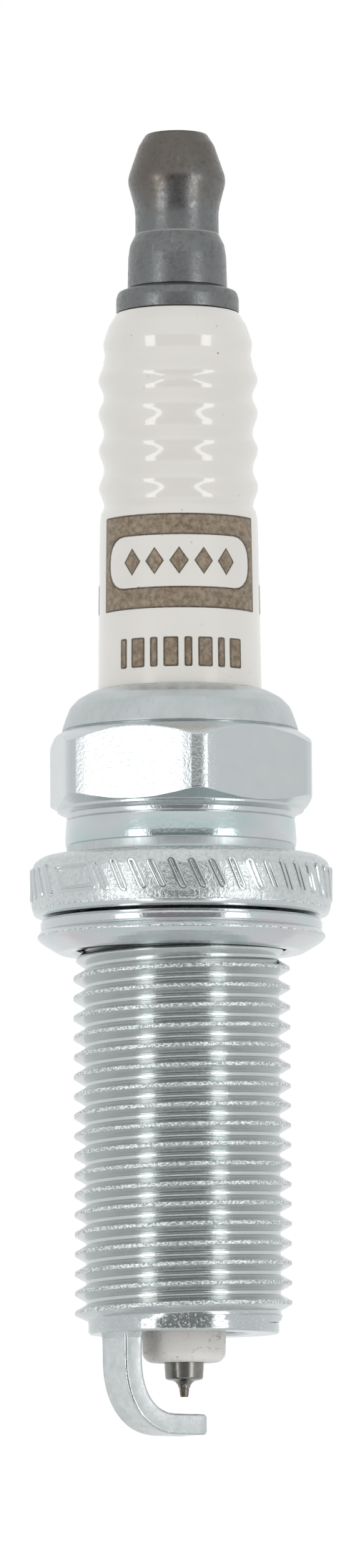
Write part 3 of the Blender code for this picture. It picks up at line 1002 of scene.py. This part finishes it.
def make_gasket(plain, edge):
    """The folded ring: two layers above a groove, and a coned skirt with a flat ring under it."""
    base = -DATUM
    corners = [
        (6.74, base + 0.22, 0.1), (6.95, base, 0.1), (7.8, base, 0.12),
        (8.0, base + 0.1, 0.3), (8.6, base + 0.46, 0.5), (8.95, base + 0.7, 0.5),
        (9.17, base + 0.94, 0.06), (9.16, base + 1.05, 0.03), (8.98, base + 1.3, 0.1),
        (8.88, base + 1.41, 0.03), (8.95, base + 1.5, 0.05), (8.96, base + 1.84, 0.15),
        (8.86, GASKET_TOP - 0.08, 0.1), (8.6, GASKET_TOP, 0.1), (7.0, GASKET_TOP, 0.1),
        (6.74, GASKET_TOP - 0.3, 0.2), (6.74, base + 0.6),
    ]
    outline = filleted(corners, 5)
    gasket = turned("folded_gasket", outline, plain, edge)
    zone_materials(gasket, ((1, (base + 1.0, base + 1.1, 9.1)),))
    return gasket


# Electrodes


STRAP_WIDTH = 2.6
STRAP_THICKNESS = 1.27
# The leg's middle: its distance from the axis, and its angle.
STRAP_RADIUS = 4.77
STRAP_ANGLE = 177.1
# Where the bend starts, where it ends, how square it is, and how far the foot runs past the axis.
STRAP_BEND_TOP = -25.5
STRAP_BEND_END = 1.35
STRAP_SQUARENESS = 2.25
STRAP_OVERHANG = 0.6
# The length of the rounded end.
STRAP_ROUNDING = 0.3


def strap_line():
    """(distance from the axis, height) down the leg, round the bend and under the tip."""
    lowest = STRAP_BOTTOM + STRAP_THICKNESS / 2 + 0.02
    across = STRAP_RADIUS - STRAP_BEND_END
    down = STRAP_BEND_TOP - lowest
    line = [(STRAP_RADIUS, z) for z in (SHELL_END + 0.02, SHELL_END - 0.35, -24.9)]
    steps = 28
    for step in range(steps + 1):
        angle = math.pi / 2 * step / steps
        out = math.cos(angle) ** (2 / STRAP_SQUARENESS)
        drop = math.sin(angle) ** (2 / STRAP_SQUARENESS)
        line.append((STRAP_BEND_END + across * out, STRAP_BEND_TOP - down * drop))
    foot_steps = 6
    for step in range(1, foot_steps + 1):
        share = step / foot_steps
        line.append((STRAP_BEND_END - (STRAP_BEND_END + STRAP_OVERHANG) * share, lowest))
    return line


def strap_section(grow):
    """The strap's rectangle, made larger by grow, with a rolled burr at each edge."""
    inset, burr = 0.14, 0.165
    half_width = STRAP_WIDTH / 2 + grow - inset
    half_depth = STRAP_THICKNESS / 2 + grow - inset
    points = []
    for sx, sy, start in QUARTERS:
        points += arc((sx * half_width, sy * half_depth), (burr, burr), start - 22, start + 112, 7)
    return points


def strap_growth(index, past):
    """How much the section grows: a fillet at the weld, and a rounding past the foot's end."""
    if index < 2:
        return (0.07, 0.015)[index]
    return -0.2 * (1 - math.sqrt(max(1 - past * past, 0)))


def make_strap(face_look, edge_look):
    """The strap, with the torn material on its burrs and its root."""
    line = strap_line()
    turn = math.radians(STRAP_ANGLE)
    out_way = Vector((math.cos(turn), math.sin(turn), 0))
    side_way = Vector((-math.sin(turn), math.cos(turn), 0))
    up = Vector((0, 0, 1))
    end = Vector(line[-1])
    for share in (0.35, 0.7, 0.92, 1.0):
        line.append((end.x - STRAP_ROUNDING * share, end.y))
    sections = []
    for i, (out, z) in enumerate(line):
        before = Vector(line[max(i - 1, 0)])
        after = Vector(line[min(i + 1, len(line) - 1)])
        run = (after - before).normalized()
        grow = strap_growth(i, max(end.x - out, 0) / STRAP_ROUNDING)
        middle = out_way * out + up * z
        outward = out_way * -run.y + up * run.x
        section = [middle + side_way * x + outward * y for x, y in strap_section(grow)]
        sections.append([tuple(point) for point in section])
    strap = finished("ground_strap", *swept(sections), face_look, edge_look)
    for face in strap.data.polygons:
        across = abs(face.normal.dot(side_way))
        if 0.2 < across < 0.97 or face.center.z > (SHELL_END - 0.3) * MM:
            face.material_index = 1
    return strap


def make_nickel(look):
    """The centre electrode, with its seat above and its turned-down end below."""
    corners = [
        (0, -23.5), (0.7, -23.5), (0.7, NICKEL_TOP), (1.3, NICKEL_TOP), (1.3, -4.3),
        (1.88, -4.3), (1.88, -4.87), (1.22, -5.53), (1.245, NOSE_END - 0.05),
        (1.24, NOSE_END - 0.3), (1.185, -26.74, 0.14), (0.98, -26.8, 0.2),
        (0.62, -26.86, 0.4), (0.4, -27.12, 0.3), (0.36, NICKEL_END), (0.29, NICKEL_END),
        (0.29, -26.72), (0, -26.72),
    ]
    outline = filleted(corners, 5)
    return turned("nickel_electrode", outline, look, segments=SMALL_ROUND)


def make_tip(look):
    corners = [
        (0, TIP_TOP), (0.26, TIP_TOP), (0.26, NICKEL_END - 0.03),
        (0.315, NICKEL_END - 0.03, 0.03), (0.265, TIP_END + 0.1, 0.1),
        (0.235, TIP_END, 0.03), (0, TIP_END),
    ]
    outline = filleted(corners, 4)
    return turned("tip_wire", outline, look, segments=48)


# Studio


# Brightness of the light tent, of its back, of the two front panels and of the gap between them.
TENT_LEVEL = 0.85
BACK_LEVEL = 0.9
PANEL_LEVEL = 3.3
GAP_LEVEL = 0.25
# The panels' middles and half width, and the opening's middle height and its height, in degrees.
PANEL_ANGLE = 44.6
PANEL_HALF = 8.0
OPENING_MIDDLE = -21.4
OPENING_HEIGHT = 57.2
OPENING_OFFSET = 0.8

FLOOR_HEIGHT = -0.5
FLOOR_RADIUS = 0.7

CAMERA_DISTANCE = 0.6095
CAMERA_HEIGHT = -0.0516
AIM_HEIGHT = 0.0108
CAMERA_ROLL = -0.36
LENS = 220.8


def band(graph, value, middle, half, soft):
    """1 within half of the middle, fading to 0 over soft."""
    away = graph.math("ABSOLUTE", graph.math("SUBTRACT", value, middle))
    return graph.remap(away, half - soft / 2, half + soft / 2, 1.0, 0.0, smooth=True)


def tent_glow(graph):
    """The tent's brightness by direction, in degrees round from the front and up."""
    direction = graph.node("TexCoord").outputs["Generated"]
    to_front = graph.node("VectorRotate", Vector=direction, Angle=-math.radians(FRONT))
    to_front.rotation_type = "Z_AXIS"
    x, y, z = graph.node("SeparateXYZ", Vector=to_front.outputs["Vector"]).outputs
    round_angle = graph.math("DEGREES", graph.math("ARCTAN2", y, x))
    rise = graph.math("DEGREES", graph.math("ARCSINE", z))
    round_away = graph.math("ABSOLUTE", graph.math("SUBTRACT", round_angle, OPENING_OFFSET))
    front = band(graph, rise, OPENING_MIDDLE, OPENING_HEIGHT / 2, 1.2)
    # Below the object the opening narrows, so both panels lean in and taper.
    below = graph.math("MAXIMUM", graph.math("SUBTRACT", -15.0, rise), 0.0)
    lean = graph.math("MULTIPLY", below, 0.8)
    across = graph.math("ADD", round_away, lean)
    taper = graph.math("MULTIPLY_ADD", lean, 0.07, 1.0)
    off_centre = graph.math("MULTIPLY", graph.math("SUBTRACT", across, PANEL_ANGLE), taper)
    panels = graph.math("MULTIPLY", band(graph, off_centre, 0.0, PANEL_HALF, 4.0), front)
    gap_half = PANEL_ANGLE - PANEL_HALF - 1.5
    gap = graph.math("MULTIPLY", band(graph, across, 0.0, gap_half, 4.0), front)
    sides = band(graph, round_away, 80.0, 26.0, 30.0)
    behind = band(graph, round_away, 180.0, 40.0, 30.0)
    glow = graph.math("MULTIPLY_ADD", sides, -0.08, TENT_LEVEL)
    for share, level in ((behind, BACK_LEVEL), (panels, PANEL_LEVEL), (gap, GAP_LEVEL)):
        glow = graph.math("MULTIPLY_ADD", share, level - TENT_LEVEL, glow)
    return glow


def world_light():
    """A white light tent with two bright panels and a darker gap. The camera sees plain white."""
    world = bpy.data.worlds.new("light_tent")
    bpy.context.scene.world = world
    world.use_nodes = True
    world.node_tree.nodes.clear()
    graph = Graph(world.node_tree)
    tinted = graph.node("Background", Color=(0.975, 0.995, 1.0), Strength=tent_glow(graph))
    white = graph.node("Background", Color=(1, 1, 1), Strength=1.0)
    seen = graph.node("LightPath").outputs["Is Camera Ray"]
    choice = graph.node("MixShader")
    for socket, source in zip(choice.inputs, (seen, tinted.outputs[0], white.outputs[0])):
        graph.feed(socket, source)
    graph.node("OutputWorld", Surface=choice.outputs[0])


def make_floor():
    """A plain pale round table, well below the plug, out of the photographed view."""
    mesh = bpy.data.meshes.new("floor")
    corners = [on_wall(FLOOR_RADIUS, 5 * i, FLOOR_HEIGHT) for i in range(72)]
    mesh.from_pydata(corners, [], [tuple(range(72))])
    look = Look("pale_floor", (0.9, 0.9, 0.9), 0.8, 0.0)
    look.colour(look.ramp(look.noise(400, 2), (0.3, (0.88, 0.88, 0.88)), (0.7, (0.92, 0.92, 0.92))))
    return new_object("floor", mesh, look.material)


def make_camera():
    """A long lens a little below the plug's middle, turned slightly about its line of sight."""
    turn = math.radians(VIEW_AZIMUTH)
    camera = bpy.data.cameras.new("camera")
    camera.lens = LENS
    camera.sensor_width = 36.0
    camera.clip_start = 0.01
    obj = bpy.data.objects.new("camera", camera)
    bpy.context.scene.collection.objects.link(obj)
    x, y = CAMERA_DISTANCE * math.sin(turn), -CAMERA_DISTANCE * math.cos(turn)
    obj.location = (x, y, CAMERA_HEIGHT)
    sight = Vector((0, 0, AIM_HEIGHT)) - obj.location
    aim = sight.to_track_quat("-Z", "Y").to_matrix().to_4x4()
    obj.rotation_euler = (aim @ Matrix.Rotation(math.radians(CAMERA_ROLL), 4, "Z")).to_euler()
    bpy.context.scene.camera = obj


# Assembly


def place(piece, body, slot_name, *replaced):
    """Tells the frame which body the piece moves with and the CAD nodes it stands for. Its slot_name
    is not used.
    """
    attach(piece, body)
    if replaced:
        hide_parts(*replaced)


def shell_looks():
    """The shell's materials: the plain plate, then those of SHELL_ZONES in their order."""
    plain = zinc("zinc_plate", 0.12, 0.22, 0.3, 0.006)
    flank_base = (0.665, 0.69, 0.682)
    flank = zinc("zinc_thread_flank", 0.14, 0.22, 0.25, 0.008, 0.1, flank_base)
    return [plain, banded_zinc(), stamped_zinc(), crest_zinc(), crimped_zinc(), flank, torn_zinc()]


def build_shell(looks):
    place(make_shell(*looks), BODY, "zinc_plated_steel", "shell")
    hexagon = zinc("zinc_hexagon", 0.11, 0.17, 0.17, 0.018, 0.12)
    place(make_hexagon(hexagon), BODY, "zinc_plated_steel")
    marks = zinc("zinc_stamped_marks", 0.07, 0.13, 0.2, 0.004, 0.1)
    place(make_rim_marks(marks), BODY, "zinc_plated_steel")


def build_insulator():
    place(make_insulator(glaze(), bare_alumina()), BODY, "glazed_alumina", "insulator")
    dark = ink("ink_outline", (0.06, 0.046, 0.036), (0.17, 0.13, 0.09), 0.2)
    brown = ink("ink_fill", (0.165, 0.12, 0.078), (0.35, 0.272, 0.19), 0.35)
    for slip in make_print(dark, brown):
        place(slip, BODY, "glazed_alumina")


def build_terminal():
    plated = dark_nickel()
    place(make_nut(plated), CAP, "dark_plated_steel", "terminal_nut")
    place(make_stud(plated), BODY, "dark_plated_steel", "terminal_stud")


def build_lower_end(crest, torn):
    folded = zinc("zinc_gasket", 0.1, 0.18, 0.2, 0.008, 0.6)
    place(make_gasket(folded, crest), RING, "zinc_plated_steel", "gasket")
    place(make_strap(strap_metal(), torn), BODY, "strap_nickel", "ground_electrode")
    nickel = plain_metal("electrode_nickel", (0.29, 0.282, 0.264), 0.27, (0.24, 0.232, 0.215))
    place(make_nickel(nickel), BODY, "electrode_nickel", "centre_electrode")
    wire = plain_metal("iridium_wire", (0.22, 0.205, 0.18), 0.34, (0.26, 0.2, 0.155))
    place(make_tip(wire), BODY, "iridium", "iridium_tip")


def build_inside():
    """Materials for the sealed pieces, which stay as the CAD made them."""
    glass = powder("copper_glass", (0.16, 0.07, 0.04), (0.34, 0.17, 0.1))
    copper = plain_metal("core_copper", (0.74, 0.4, 0.26), 0.32, (0.6, 0.3, 0.2))
    steel = plain_metal("ring_steel", (0.46, 0.46, 0.47), 0.38, (0.38, 0.37, 0.36))
    looks = {
        "upper_glass_seal": glass,
        "lower_glass_seal": glass,
        "resistor": powder("carbon_glass", (0.02, 0.02, 0.02), (0.07, 0.07, 0.07)),
        "talc_packing": powder("talc_powder", (0.7, 0.69, 0.65), (0.84, 0.83, 0.79)),
        "centre_electrode_core": copper,
        "upper_packing_ring": steel,
        "shoulder_packing_ring": steel,
        "lower_packing_washer": steel,
    }
    for node, look in looks.items():
        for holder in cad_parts[node].material_slots:
            holder.material = look


plating = shell_looks()
build_shell(plating)
build_insulator()
build_terminal()
build_lower_end(plating[CREST], plating[TORN])
build_inside()
make_floor()
make_camera()
world_light()
bpy.context.scene.view_settings.view_transform = "Standard"
